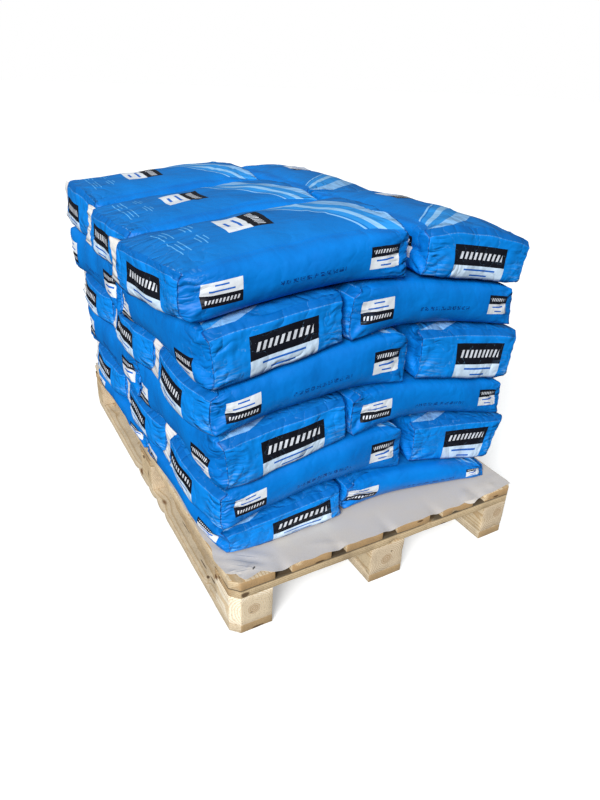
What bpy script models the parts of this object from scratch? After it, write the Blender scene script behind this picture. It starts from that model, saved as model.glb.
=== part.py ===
"""A loaded pallet: thirty filled paper sacks in six cross-laid layers, on a paper slip sheet, on a wooden pallet.

Metres, +Z up. The origin is on the floor, under the middle of the pallet. +Y runs along the pallet's 1200 mm
length and +X across its 800 mm width. The sacks' fronts face -Y.
"""

import math
import random

import bmesh
import bpy
from mathutils import Matrix, Vector

# Pallet, sawn softwood
PALLET_LENGTH = 1.200
PALLET_WIDTH = 0.800
BOARD_THICKNESS = 0.022
DECK_BOARDS = 6
DECK_BOARD_WIDTH = 0.100
BLOCK_SIDE = 0.095
BLOCK_HEIGHT = 0.078
CORNER_CHAMFER = 0.020
SEAT_GAP = 0.0003
SAME_PLACE = 0.00001

# Slip sheet, one layer of stiff paper laid on the deck
SHEET_THICKNESS = 0.001
SHEET_WIDTH = 0.784
SHEET_LENGTH = 1.186
SHEET_EDGE_WAVE = 0.004
SHEET_EDGE_POINTS = 24

# Filled sack, largest size, with the space each takes in its layer
SACK_LENGTH = 0.489
SACK_WIDTH = 0.326
SPACE_LENGTH = 0.494
SPACE_WIDTH = 0.331
SACK_CROWN = 0.012

# Heights of the seams between the layers, bottom first: along the load's left edge, its middle and its right edge
SEAM_LEFT = (0.1458, 0.206, 0.300, 0.433, 0.534, 0.668, 0.773)
SEAM_MIDDLE = (0.1458, 0.236, 0.358, 0.465, 0.592, 0.706, 0.811)
SEAM_RIGHT = (0.1458, 0.191, 0.296, 0.400, 0.541, 0.646, 0.756)
SEAM_GAP = 0.0011
HALF_LOAD = 0.41
DOME_ROUNDING = 0.15

# How each layer lies on the one below, bottom layer first: pushed over in x and y, turned in degrees, and the
# open joint between its three cross-laid sacks and its two lengthwise ones
LAYERS = ((0.000, -0.020, 1.3, 0.0), (0.022, -0.016, 1.3, 0.024), (-0.006, -0.014, 2.0, 0.0),
          (0.010, -0.012, 1.2, 0.026), (-0.028, -0.010, 1.9, 0.0), (0.000, -0.006, 0.2, 0.038))
LARGEST_TURN = 0.3
LARGEST_SLIP = 0.001

# A sack's cross-section, from its middle top round one side to its middle bottom: (share of width, share of height)
SECTION = ((0.0, 1.0), (0.78, 1.0), (0.94, 0.78), (1.0, 0.28), (1.0, -0.28), (0.94, -0.78), (0.78, -1.0), (0.0, -1.0))

# Stations from a sack's middle to its flat end: (share of half length, share of width, share of height, squareness)
STATIONS = ((0.0, 1.0, 1.0, 0.0), (0.30, 1.0, 1.0, 0.0), (0.56, 1.0, 1.0, 0.05), (0.79, 0.99, 1.0, 0.2),
            (0.93, 0.955, 0.97, 0.7), (0.975, 0.935, 0.86, 1.0))

WOOD = ("pallet_wood", (0.62, 0.47, 0.28), 0.8)
PAPER = ("sack_paper", (0.010, 0.190, 0.680), 0.45)
KRAFT = ("slip_paper", (0.50, 0.47, 0.43), 0.9)


def clear_scene():
    for old in list(bpy.data.objects):
        bpy.data.objects.remove(old)


def material(name, colour, roughness):
    """The Principled BSDF of one finish, made once and shared by the pieces that have it."""
    found = bpy.data.materials.get(name)
    if found:
        return found
    made = bpy.data.materials.new(name)
    made.use_nodes = True
    shader = made.node_tree.nodes["Principled BSDF"]
    shader.inputs["Base Color"].default_value = (*colour, 1.0)
    shader.inputs["Roughness"].default_value = roughness
    shader.inputs["Metallic"].default_value = 0.0
    return made


def add_object(name, shape, finish, parent):
    """One named sub-part from a bmesh, under its parent empty."""
    mesh = bpy.data.meshes.new(name)
    bmesh.ops.recalc_face_normals(shape, faces=shape.faces)
    shape.to_mesh(mesh)
    shape.free()
    mesh.materials.append(material(*finish))
    made = bpy.data.objects.new(name, mesh)
    bpy.context.scene.collection.objects.link(made)
    made.parent = parent
    return made


def empty(name):
    made = bpy.data.objects.new(name, None)
    bpy.context.scene.collection.objects.link(made)
    return made


def timber(name, low, size, parent):
    """A sawn piece with its lowest corner at low. Vertical edges on the pallet's own corners are cut off."""
    shape = bmesh.new()
    centre = Vector(low) + Vector(size) / 2
    bmesh.ops.create_cube(shape, size=1.0, matrix=Matrix.Translation(centre) @ Matrix.Diagonal((*size, 1.0)))
    corner = [edge for edge in shape.edges if on_pallet_corner(edge)]
    if corner:
        bmesh.ops.bevel(shape, geom=corner, offset=CORNER_CHAMFER, segments=1, affect="EDGES", clamp_overlap=False)
    return add_object(name, shape, WOOD, parent)


def on_pallet_corner(edge):
    """Whether an edge stands upright on one of the pallet's four corners."""
    foot, head = (end.co for end in edge.verts)
    upright = (head - foot).xy.length < SAME_PLACE
    at_side = math.isclose(abs(foot.x), PALLET_WIDTH / 2, abs_tol=SAME_PLACE)
    at_end = math.isclose(abs(foot.y), PALLET_LENGTH / 2, abs_tol=SAME_PLACE)
    return upright and at_side and at_end


def three_places(length):
    """Low sides of three equal pieces of the block's width, spread over a length that is centred on zero."""
    return (-length / 2, -BLOCK_SIDE / 2, length / 2 - BLOCK_SIDE)


def build_pallet():
    """Three bottom boards, nine blocks, three cross boards and six deck boards. Returns the deck's height."""
    pallet = empty("pallet")
    across = dict(zip(("left", "centre", "right"), three_places(PALLET_WIDTH)))
    along = dict(zip(("front", "middle", "back"), three_places(PALLET_LENGTH)))
    level = 0.0
    for side, x in across.items():
        timber(f"bottom_board_{side}", (x, -PALLET_LENGTH / 2, level),
               (BLOCK_SIDE, PALLET_LENGTH, BOARD_THICKNESS), pallet)
    level += BOARD_THICKNESS
    for place, y in along.items():
        for side, x in across.items():
            timber(f"block_{place}_{side}", (x, y, level + SEAT_GAP),
                   (BLOCK_SIDE, BLOCK_SIDE, BLOCK_HEIGHT - SEAT_GAP), pallet)
    level += BLOCK_HEIGHT
    for place, y in along.items():
        timber(f"cross_board_{place}", (-PALLET_WIDTH / 2, y, level + SEAT_GAP),
               (PALLET_WIDTH, BLOCK_SIDE, BOARD_THICKNESS - SEAT_GAP), pallet)
    level += BOARD_THICKNESS
    pitch = (PALLET_WIDTH - DECK_BOARD_WIDTH) / (DECK_BOARDS - 1)
    for number in range(DECK_BOARDS):
        timber(f"deck_board_{number + 1}", (-PALLET_WIDTH / 2 + number * pitch, -PALLET_LENGTH / 2, level + SEAT_GAP),
               (DECK_BOARD_WIDTH, PALLET_LENGTH, BOARD_THICKNESS - SEAT_GAP), pallet)
    return level + BOARD_THICKNESS


def sheet_edge(start, end, points, phase):
    """Points from start up to end, with a shallow wave to the side, as a torn paper edge has."""
    run = end - start
    aside = Vector((run.y, -run.x, 0.0)).normalized()
    for number in range(points):
        share = number / points
        fade = math.sin(math.pi * share)
        wave = SHEET_EDGE_WAVE * fade * math.sin(2 * math.pi * (2.5 * share + phase))
        yield start + run * share + aside * wave


def build_slip_sheet(deck):
    """The sheet as a thin plate with a gently wandering outline."""
    half_width = SHEET_WIDTH / 2
    half_length = SHEET_LENGTH / 2
    corners = [Vector((x * half_width, y * half_length, deck + SEAT_GAP))
               for x, y in ((-1, -1), (1, -1), (1, 1), (-1, 1))]
    shape = bmesh.new()
    outline = []
    for number, corner in enumerate(corners):
        following = corners[(number + 1) % len(corners)]
        points = SHEET_EDGE_POINTS // 4 + (2 if number % 2 else 0)
        outline += [shape.verts.new(point) for point in sheet_edge(corner, following, points, 0.3 * number)]
    face = shape.faces.new(outline)
    raised = bmesh.ops.extrude_face_region(shape, geom=[face])["geom"]
    bmesh.ops.translate(shape, vec=(0.0, 0.0, SHEET_THICKNESS),
                        verts=[item for item in raised if isinstance(item, bmesh.types.BMVert)])
    add_object("slip_sheet", shape, KRAFT, None)


def edge_share(x):
    """How far x is from the load's middle line towards its left or right edge: 0 in the middle, 1 at the edge."""
    reach = math.hypot(HALF_LOAD, DOME_ROUNDING) - DOME_ROUNDING
    return (math.hypot(x, DOME_ROUNDING) - DOME_ROUNDING) / reach


def seam_height(seam, x):
    """Height of one seam between layers, which sags from the load's middle line to its edges."""
    edge = SEAM_LEFT if x < 0.0 else SEAM_RIGHT
    return SEAM_MIDDLE[seam] + (edge[seam] - SEAM_MIDDLE[seam]) * edge_share(x)


def section_points(width, height, squareness):
    """The cross-section as (across, up) shares, all the way round. Squareness 1 gives a folded, box-like end."""
    side = []
    for across, up in SECTION:
        square_across = min(1.0, across * 1.08) if across else 0.0
        square_up = math.copysign(1.0, up) if abs(up) > 0.5 else up
        side.append((width * (across + (square_across - across) * squareness),
                     height * (up + (square_up - up) * squareness)))
    other = [(-across, up) for across, up in reversed(side[1:-1])]
    return side + other


def sack_rings():
    """Rings of points from one end of a sack to the other, as (along, across, up) in a sack's own frame."""
    stations = [(-along, *rest) for along, *rest in reversed(STATIONS[1:])] + list(STATIONS)
    for along, width, height, squareness in stations:
        yield [Vector((along * SACK_LENGTH / 2, across * SACK_WIDTH / 2, up))
               for across, up in section_points(width, height, squareness)]


def crown(point):
    """How much higher the free top of an uppermost sack stands in its middle than at its edges, from 0 to 1."""
    along = min(1.0, abs(point.x) / (SACK_LENGTH / 2))
    across = min(1.0, abs(point.y) / (SACK_WIDTH / 2))
    return (1.0 - along ** 4) * (1.0 - across ** 2)


def placed(point, turn, centre, layer, top_layer):
    """A point of a sack, moved to its place in the load and fitted between the seams under and over its layer."""
    spot = Matrix.Rotation(turn, 3, "Z") @ Vector((point.x, point.y, 0.0)) + centre
    low = seam_height(layer, spot.x) + (SEAM_GAP / 2 if layer else 0.0)
    high = seam_height(layer + 1, spot.x) - SEAM_GAP / 2
    if top_layer:
        high += SACK_CROWN * crown(point)
    return Vector((spot.x, spot.y, low + (high - low) * (point.z + 1.0) / 2.0))


def sack(name, turn, centre, layer, top_layer, parent):
    """A filled block-bottom sack: bulging long sides, flat top and bottom, and two squared folded ends."""
    shape = bmesh.new()
    rings = [[shape.verts.new(placed(point, turn, centre, layer, top_layer)) for point in ring]
             for ring in sack_rings()]
    count = len(rings[0])
    for ring, following in zip(rings, rings[1:]):
        for number in range(count):
            after = (number + 1) % count
            shape.faces.new((ring[number], ring[after], following[after], following[number]))
    for ring, outwards in ((rings[0], -1.0), (rings[-1], 1.0)):
        tip = placed(Vector((outwards * SACK_LENGTH / 2, 0.0, 0.0)), turn, centre, layer, top_layer)
        middle = shape.verts.new(tip)
        for number in range(count):
            shape.faces.new((ring[number], ring[(number + 1) % count], middle))
    return add_object(name, shape, PAPER, parent)


def layer_places(flipped, open_joint):
    """The five places in a layer, as (x, y, turn): three sacks laid across the load and two laid along it.
    A flipped layer has the three on its right, so that the joints of two layers never line up."""
    side = -1.0 if flipped else 1.0
    reach = (SPACE_LENGTH + SPACE_WIDTH) / 2
    across_x = side * (-reach + SPACE_LENGTH / 2 - open_joint)
    along_x = side * (reach - SPACE_WIDTH / 2)
    turn = math.pi if flipped else 0.0
    for number in range(3):
        yield across_x, (number - 1) * SPACE_WIDTH, turn
    for number in range(2):
        yield along_x, (number - 0.5) * SPACE_LENGTH, math.pi / 2


def build_load():
    """Six layers of five sacks, each layer pushed over a little and each sack slightly out of true."""
    load = empty("load")
    chance = random.Random(11)
    for layer, (shift_x, shift_y, turned, open_joint) in enumerate(LAYERS):
        layer_turn = Matrix.Rotation(math.radians(turned), 3, "Z")
        for number, (x, y, turn) in enumerate(layer_places(layer % 2 == 0, open_joint)):
            slip = Vector((chance.uniform(-1, 1), chance.uniform(-1, 1), 0.0)) * LARGEST_SLIP
            centre = layer_turn @ Vector((x, y, 0.0)) + Vector((shift_x, shift_y, 0.0)) + slip
            askew = math.radians(turned + chance.uniform(-1, 1) * LARGEST_TURN)
            sack(f"sack_{layer + 1}_{'abcde'[number]}", turn + askew, centre, layer,
                 layer == len(LAYERS) - 1, load)


def main():
    clear_scene()
    deck = build_pallet()
    build_slip_sheet(deck)
    build_load()


main()
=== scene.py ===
"""The looks of a loaded pallet: thirty printed paper sacks on a slip sheet and a sawn softwood pallet."""

import math
import random
from collections import namedtuple

import bmesh
import bpy
import numpy as np
from mathutils import Matrix, Vector


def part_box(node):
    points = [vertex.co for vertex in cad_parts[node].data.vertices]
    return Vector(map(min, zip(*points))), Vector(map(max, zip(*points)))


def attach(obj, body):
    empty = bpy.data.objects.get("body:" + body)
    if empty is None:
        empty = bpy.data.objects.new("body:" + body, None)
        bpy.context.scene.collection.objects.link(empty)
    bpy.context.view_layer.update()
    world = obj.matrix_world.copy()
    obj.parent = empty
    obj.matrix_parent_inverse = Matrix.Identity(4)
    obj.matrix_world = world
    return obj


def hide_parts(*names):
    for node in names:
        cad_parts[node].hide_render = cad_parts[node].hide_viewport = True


# Camera, in the photograph's frame
EYE = (-0.7708, -1.4702, 1.0746)
YAW = -30.4442
PITCH = -27.7955
ROLL = 2.5275
FRAME_HEIGHT = 800
FOCAL_PIXELS = 621.97
SENSOR = 36.0

# Light
SUN_FROM = (-0.64, -0.60, 0.49)
SUN_STRENGTH = 4.4
SUN_SPREAD = 28

# Pallet and slip sheet, as in the solid model
PALLET_LENGTH = 1.200
PALLET_WIDTH = 0.800
DECK_BOARDS = 6
DECK_BOARD_WIDTH = 0.100
CORNER_CHAMFER = 0.020

# Sawn timber: how finely it is cut, how near a corner has to be to count as the pallet's own, how its arrises
# are worn and knocked, and how rough its faces are
TIMBER_CELL = 0.014
SAME_PLACE = 0.00001
ARRIS_WEAR = 0.0014
KNOCK_DEPTHS = (0.002, 0.007)
KNOCK_SIZES = (0.012, 0.034)
SAWN_FACES = (("sawn_wave", 0.07, 0.0016), ("torn_fibre", 0.012, 0.0008))
END_GRAIN_DEPTH = 0.0012

# Knot holes and torn-out splinters at the front and left of the pallet: the middle and half size of each
BLOCK_HOLES = (((-0.400, 0.023, 0.092), (0.010, 0.010, 0.005)),
               ((-0.400, -0.018, 0.060), (0.010, 0.004, 0.014)),
               ((0.012, -0.600, 0.075), (0.003, 0.010, 0.0025)))
# Holes of the front left block, whose lighter copy of the pine is painted light for the sun on it
LIT_BLOCK_HOLES = (((-0.356, -0.600, 0.052), (0.004, 0.010, 0.0015)),)
DECK_HOLES = (((-0.190, -0.600, 0.125), (0.016, 0.010, 0.003)),
              ((0.090, -0.600, 0.136), (0.010, 0.010, 0.003)),
              ((0.338, -0.600, 0.128), (0.012, 0.010, 0.0035)))
CROSS_BOARD_HOLES = (((-0.371, -0.600, 0.109), (0.011, 0.010, 0.0075)),
                     ((0.167, -0.600, 0.101), (0.014, 0.010, 0.004)),
                     ((-0.400, -0.530, 0.110), (0.010, 0.007, 0.003)))
BOTTOM_BOARD_HOLES = (((-0.388, -0.431, 0.022), (0.004, 0.006, 0.010)),
                      ((-0.3815, -0.385, 0.022), (0.0015, 0.020, 0.010)),
                      ((-0.3816, -0.4455, 0.022), (0.0015, 0.016, 0.010)),
                      ((-0.372, -0.240, 0.022), (0.001, 0.030, 0.010)),
                      ((-0.340, -0.600, 0.004), (0.016, 0.010, 0.003)))

# The height from which the cross boards are painted dark: painted shade on their tops between the deck boards
CROSS_BOARD_SHADE_LEVEL = 0.1215

# Slip sheet: its creases, most of them by the crumpled corner, as start, end, height and width
SHEET_CREASES = (((-0.392, -0.520), (-0.318, -0.578), 0.0030, 0.0070),
                 ((-0.386, -0.538), (-0.325, -0.586), 0.0026, 0.0060),
                 ((-0.392, -0.562), (-0.345, -0.574), 0.0030, 0.0060),
                 ((-0.376, -0.588), (-0.330, -0.560), 0.0020, 0.0050),
                 ((-0.370, -0.500), (-0.290, -0.560), 0.0020, 0.0100),
                 ((-0.395, -0.470), (-0.350, -0.545), 0.0020, 0.0090),
                 ((-0.390, -0.400), (-0.372, -0.480), 0.0018, 0.0080),
                 ((-0.200, -0.560), (-0.120, -0.585), 0.0012, 0.0080),
                 ((0.334, -0.586), (0.346, -0.567), 0.0026, 0.0070),
                 ((0.300, -0.575), (0.385, -0.540), 0.0016, 0.0100),
                 ((0.229, -0.593), (0.266, -0.560), 0.0026, 0.0090))

# How far the sheet's front edge is cut back, by x, and its left edge, by y, or stands out where negative
FRONT_CUT = ((-0.392, -0.380, -0.372, -0.350, -0.325, -0.306, -0.290, 0.22, 0.30, 0.392),
             (0.014, 0.012, 0.002, 0.005, 0.010, -0.003, -0.005, -0.004, -0.003, 0.006))
LEFT_CUT = ((-0.593, -0.579, -0.567, -0.542, -0.45, 0.60),
            (0.022, 0.020, -0.003, -0.005, 0.000, 0.000))

# How thick the sheet is, a little less than its solid, how finely it is cut, its dips between the deck
# boards, its wavy edge, and the tongue over its front
SHEET_THICKNESS = 0.0006
SHEET_COLUMNS = 100
SHEET_ROWS = 96
DIP = 0.0030
DIP_REACH = 0.018
DIP_HALF_WIDTH = 0.020
DIP_EASE = 0.018
DEEPEST_DIP = 0.0065
EDGE_WAVE = 0.0012
TONGUE_AT = 0.248
TONGUE_WIDTH = 0.016
TONGUE_OUT = 0.005
TONGUE_DOWN = 0.006

# The sheet's slit as middle, half size and turn, painted dark for the shade in it, and the painted shade
# along the creases of its crumpled corner, tinted with the sacks' reflected blue, as middle, turn and half
# length
SHADED_SLIT = ((-0.338, -0.573, 0.146), (0.005, 0.0018, 0.02), 0.6)
CREASE_SHADE_MARKS = (((-0.350, -0.545, 0.146), -0.64, 0.044), ((-0.352, -0.562, 0.146), -0.66, 0.036),
              ((-0.366, -0.570, 0.146), -0.25, 0.022), ((-0.338, -0.532, 0.146), -0.60, 0.030))

# Filled sack, as in the solid model
SACK_LENGTH = 0.489
SACK_WIDTH = 0.326

# Seams between the layers at the load's left edge, middle line and right edge, as in the solid model
SEAM_LEFT = (0.1458, 0.206, 0.300, 0.433, 0.534, 0.668, 0.773)
SEAM_MIDDLE = (0.1458, 0.236, 0.358, 0.465, 0.592, 0.706, 0.811)
SEAM_RIGHT = (0.1458, 0.191, 0.296, 0.400, 0.541, 0.646, 0.756)
SEAM_GAP = 0.0011
HALF_LOAD = 0.41
DOME_ROUNDING = 0.15
TOP_LAYER = 6

# A sack's form: the height that its shares are worked out for, and how far round an edge a face still counts
HALF_LENGTH = SACK_LENGTH / 2
HALF_WIDTH = SACK_WIDTH / 2
HALF_HEIGHT = 0.055
SKIN_REACH = 0.005

# Long sides, which belly out between a flat top and a narrower foot, and hardly do so by the ends
BELLY = 0.034
LOW_BELLY = 0.056
TOP_BELLY = 0.050
END_BELLY = 0.004
HEAD_ROUNDNESS = 2.3
FOOT_ROUNDNESS = 1.9
END_SQUARENESS = 8.0

# Block ends, with a fold line under the top that is lower by the upright edges
FOLD_REACH = 0.045
FOLD_MIDDLE = 0.78
FOLD_CORNER = 0.68
END_REACH = 0.050
END_TILT = 0.004
END_DROP_REACH = 0.036
FREE_TOP_REACH = 1.6
FOOT_DROP = 0.04
SEAM_OPEN_HEAD = 0.06
SEAM_OPEN_FOOT = 0.03
SEAM_OPEN_REACH = 0.020

# Upright edges: pinched, puckered, and rounded off at top and foot
PINCH = 0.0025
PINCH_REACH = 0.018
CORNER_ROUNDING = 0.002
CORNER_SINK = 0.015
PUCKER = 0.0008
PUCKER_REACH = 0.030
PUCKER_SIZE = 0.021

# Flat triangles that the folding of the ends left in the long sides, and the old fold of the paper tube
FACET_DEPTH = 0.006
FACET_SLOPE = 0.85
FACET_FADE = 0.022
FACET_RIM = 0.0013
FOLD_WIDTH = 0.004
TUBE_CREASE = 0.0020
TUBE_LEVEL = 0.02
TUBE_LENGTH = 0.11
TUBE_FADE = 0.07

# Pleats out of the corners, creases of the sides and of a free top, and the uneven fill
PLEATS = ((-1, 4), (1, 2))
PLEAT_ANGLES = (8, 26)
PLEAT_STEP = 16
PLEAT_LENGTHS = (0.05, 0.10)
CREASE_WIDTHS = (0.003, 0.006)
END_PLEAT_DEPTH = 0.0034
SIDE_PLEAT_DEPTH = 0.0030
SIDE_CREASES = 14
SIDE_CREASE_DEPTH = 0.0018
TOP_CREASES = 26
TOP_CREASE_WIDTHS = (0.003, 0.007)
TOP_CREASE_DEPTH = 0.0028
PLEAT_FADE = 0.012
WRINKLE = 0.0012
WRINKLE_SIZE = 0.05
RIDGED_WRINKLE = 0.0010
RIDGED_WRINKLE_SIZE = 0.06
TOP_WAVE = 0.0016
TOP_WAVE_SIZE = 0.11
SETTLED_SIDES = 0.0025
SIDE_WAVE_SIZE = 0.16
SETTLED_ENDS = 0.0020
END_WAVE_SIZE = 0.12

# How finely a sack is cut: its smallest and widest cells, how fast they widen, its marks over the height, and
# how much these crowd by the top and the foot
FINE_CELL = 0.0022
COARSE_CELL = 0.011
CELL_GROWTH = 1.16
HEIGHT_MARKS = 27
MARK_CROWDING = 0.65

# How each kind of end stands: how far its middle bows out, how far its upright edges stand in from the sack's
# full width (at head and foot, on the - side and the + side of the cross axis), the share of height the top
# drops, how far its + side stands out, how far the paper leans back over the fold line, and how far the foot
# is tucked in
End = namedtuple("End", "bow head_minus foot_minus head_plus foot_plus drop skew lean tuck",
                 defaults=(0.0, 0.013, 0.006))
OPEN_LEFT = End(0.020, 0.014, 0.011, 0.014, 0.011, 0.10)
OPEN_RIGHT = End(0.004, 0.007, 0.006, 0.007, 0.006, 0.10)
PRESSED = End(0.000, 0.003, 0.005, 0.003, 0.005, 0.05)
FRONT_LEFT = End(0.004, 0.017, 0.029, 0.010, 0.004, 0.06)
FRONT_RIGHT = End(0.004, 0.001, 0.003, 0.000, 0.018, 0.06)
BACK = End(0.012, 0.010, 0.016, 0.010, 0.016, 0.12)
TOP_PRESSED = End(0.000, 0.004, 0.004, 0.004, 0.004, 0.04, 0.0, 0.008, 0.004)
OWN_ENDS = {"sack_6_a": End(0.006, 0.026, 0.024, 0.012, 0.010, 0.05, 0.034, 0.004, 0.020),
            "sack_6_b": End(0.010, 0.020, 0.010, 0.020, 0.010, 0.10, 0.010, 0.008, 0.010),
            "sack_6_c": End(0.014, 0.014, 0.010, 0.014, 0.010, 0.02, 0.0, 0.006, 0.010),
            "sack_6_d": End(0.004, 0.004, 0.0, 0.002, 0.020, 0.05),
            "sack_2_d": End(0.004, 0.001, 0.003, -0.004, 0.044, 0.06)}

# How far the top of each uppermost sack is crowned, in its middle and by its low and high ends
TOP_CROWNS = {"sack_6_a": (0.024, 0.002, 0.026), "sack_6_b": (0.012, 0.006, 0.012),
              "sack_6_c": (0.018, 0.022, 0.016), "sack_6_d": (0.027, 0.002, 0.014),
              "sack_6_e": (0.025, 0.012, 0.004)}

# The loose flap at the far upright edge of an open low end: how far its middle and its corners stand off
FLAP_MIDDLE = 0.028
FLAP_CORNER = 0.056
FLAP_FROM = 0.90
FLAP_REACH = 0.006

# Sacks that slumped: how far a corner by the high end sank, and how far a low sack crept out and was drawn in
FOOT_SANK = {"sack_2_d": 0.024}
HEAD_SANK = {"sack_1_a": 0.016}
CREPT_OUT = {"sack_1_a": (-0.018, 0.034)}
SHORTENED = {"sack_1_a": 0.062}

# How far the print is off its usual place: along a long side, down it, and across an end
SIDE_PRINT_OFF = {"sack_5_a": -0.015, "sack_3_a": -0.015, "sack_1_a": -0.035, "sack_6_d": -0.030,
                  "sack_5_d": -0.026, "sack_4_d": -0.045, "sack_3_d": -0.024, "sack_2_d": -0.035,
                  "sack_1_d": -0.012}
SIDE_PRINT_DROP = {"sack_5_d": 0.028, "sack_3_d": 0.016, "sack_2_d": 0.034}
END_PRINT_OFF = {"sack_6_a": 0.028, "sack_2_a": -0.017, "sack_6_d": -0.032, "sack_5_d": -0.015,
                 "sack_4_d": 0.002, "sack_3_d": -0.012, "sack_2_d": -0.004, "sack_1_d": 0.019}

# The print: slanted bands of the top as middle, half width and ink, and short ruled lines as place and length
BAND_SLANT = 0.62
TOP_BANDS = ((0.120, 0.052, "#2A8FDD"), (0.165, 0.022, "#86B9E8"), (0.098, 0.010, "#8FC2EC"),
             (0.060, 0.003, "#84BCEB"))
TOP_LINES = ((-0.205, 0.10), (-0.196, 0.06), (-0.187, 0.09), (-0.160, 0.05), (-0.152, 0.08), (-0.144, 0.04))
STROKE_SLANT = 0.35
STROKE_SHARE = 0.50
PANEL_PALE = "#E2E8EE"
END_PANEL_PALE = "#D0E6FA"
PANEL_DARK = "#14161F"

# The finish: how near the end a point counts as on it, how far the folded look reaches from the upright folds
# and from the end, and the pleats as turn, scale along, scale across and weight
ON_END = 0.002
FOLDED_FROM_EDGE = 0.095
FOLDED_FROM_END = 0.13
PLEAT_WAYS = ((0.15, 8.0, 40.0, 1.5), (0.80, 9.0, 44.0, 1.5), (-0.85, 9.0, 40.0, 1.3))


def hex_colour(code):
    """Linear colour of an sRGB hex value."""
    parts = [int(code[place:place + 2], 16) / 255 for place in (1, 3, 5)]
    return tuple(p / 12.92 if p <= 0.04045 else ((p + 0.055) / 1.055) ** 2.4 for p in parts) + (1.0,)


def add(tree, kind, plugs=(), **settings):
    """Adds one node with its settings. plugs gives its inputs, in order or by name, as values or sockets."""
    made = tree.nodes.new("ShaderNode" + kind)
    for name, value in settings.items():
        setattr(made, name, value)
    shown = [socket for socket in made.inputs if socket.enabled]
    if isinstance(plugs, dict):
        by_name = {socket.name: socket for socket in reversed(shown)}
        pairs = [(by_name[name], value) for name, value in plugs.items()]
    else:
        pairs = zip(shown, plugs)
    for socket, value in pairs:
        if isinstance(value, bpy.types.Node):
            value = next(output for output in value.outputs if output.enabled)
        if isinstance(value, bpy.types.NodeSocket):
            tree.links.new(value, socket)
        else:
            socket.default_value = value
    return made


def new_material(name):
    made = bpy.data.materials.new(name)
    made.use_nodes = True
    made.node_tree.nodes.clear()
    return made, made.node_tree


# Shapes of the sacks


def spaced(reach):
    """Marks from -1 to 1 over a length of twice reach, close together by both ends and wider between."""
    gaps = []
    total = 0.0
    gap = FINE_CELL
    while total + gap < reach:
        gaps.append(total)
        total += gap
        gap = min(COARSE_CELL, gap * CELL_GROWTH)
    marks = np.array(gaps) / gaps[-1] * reach
    half = 1.0 - marks / reach
    return np.concatenate((-half, half[::-1][1:]))


def box_grid(along, across, up):
    """Points (a, b, c) on the surface of a box from -1 to 1, its quads, and the side that each quad is on."""
    shape = (len(along), len(across), len(up))
    places = np.indices(shape)
    on_skin = np.zeros(shape, bool)
    for axis in range(3):
        on_skin |= (places[axis] == 0) | (places[axis] == shape[axis] - 1)
    number = np.full(shape, -1)
    number[on_skin] = np.arange(on_skin.sum())
    points = np.stack((along[places[0][on_skin]], across[places[1][on_skin]], up[places[2][on_skin]]), axis=1)
    quads = []
    sides = []
    for axis, names in enumerate((("left", "right"), ("front", "back"), ("bottom", "top"))):
        for end, name in zip((0, -1), names):
            side = np.take(number, end, axis=axis)
            ring = [side[:-1, :-1], side[1:, :-1], side[1:, 1:], side[:-1, 1:]]
            if (end == 0) != (axis == 1):
                ring.reverse()
            faces = np.stack([corner.ravel() for corner in ring], axis=1)
            quads.append(faces)
            sides += [name] * len(faces)
    return points, np.concatenate(quads), np.array(sides)


def edge_share(x):
    """How far x is from the load's middle line to its left or right edge: 0 in the middle, 1 at the edge."""
    reach = math.hypot(HALF_LOAD, DOME_ROUNDING) - DOME_ROUNDING
    return (np.hypot(x, DOME_ROUNDING) - DOME_ROUNDING) / reach


def seam_height(seam, x):
    """Height of one seam between layers, which sags from the load's middle line to its edges."""
    edge = np.where(x < 0.0, SEAM_LEFT[seam], SEAM_RIGHT[seam])
    return SEAM_MIDDLE[seam] + (edge - SEAM_MIDDLE[seam]) * edge_share(x)


def smooth(share):
    """Eases a share in and out between 0 and 1."""
    share = np.clip(share, 0.0, 1.0)
    return share * share * (3.0 - 2.0 * share)


def ripple(points, size, chance, waves=7):
    """A smooth random field from about -1 to 1, whose waves are of the given size."""
    total = np.zeros(len(points))
    for _ in range(waves):
        way = np.array([chance.gauss(0.0, 1.0) for _ in range(points.shape[1])])
        way *= 2.0 * math.pi / size * chance.uniform(0.6, 1.4) / np.linalg.norm(way)
        total += np.sin(points @ way + chance.uniform(0.0, 2.0 * math.pi))
    return total / math.sqrt(waves)


def crease(place, start, end, width):
    """1 along a straight crease on a flat plan, falling to 0 at width from it and at its two ends."""
    start = np.array(start)
    run = np.array(end) - start
    share = np.clip(((place - start) @ run) / (run @ run), 0.0, 1.0)
    away = np.linalg.norm(place - start - share[:, None] * run, axis=1)
    return np.exp(-(away / width) ** 2) * np.sin(math.pi * (0.08 + 0.84 * share))


def lerp(first, second, share):
    return first + (second - first) * share


def crown_height(a, crown):
    """How high a free top is raised along the sack: in the middle, at its low end and at its high end."""
    middle, low, high = crown
    by_end = np.abs(a) ** 3
    return lerp(middle, np.where(a < 0, low, high), by_end)


def fold_level(b):
    """Height share of an end's fold line, which is lower by the upright edges."""
    return lerp(FOLD_MIDDLE, FOLD_CORNER, np.abs(b) ** 4)


# The skin of a sack before it is shaped: shares along, across and up, how far each point is from the nearer
# end and long side, its place on the flat plan, and how fully it is on an end or a long side
Skin = namedtuple("Skin", "a b c gap side plan on_end on_side")


def flat_skin(a, b, c):
    gap = (1.0 - np.abs(a)) * HALF_LENGTH
    side = (1.0 - np.abs(b)) * HALF_WIDTH
    plan = np.stack((a * HALF_LENGTH, b * HALF_WIDTH, c * HALF_HEIGHT), axis=1)
    return Skin(a, b, c, gap, side, plan, np.exp(-gap / SKIN_REACH), np.exp(-side / SKIN_REACH))


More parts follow.
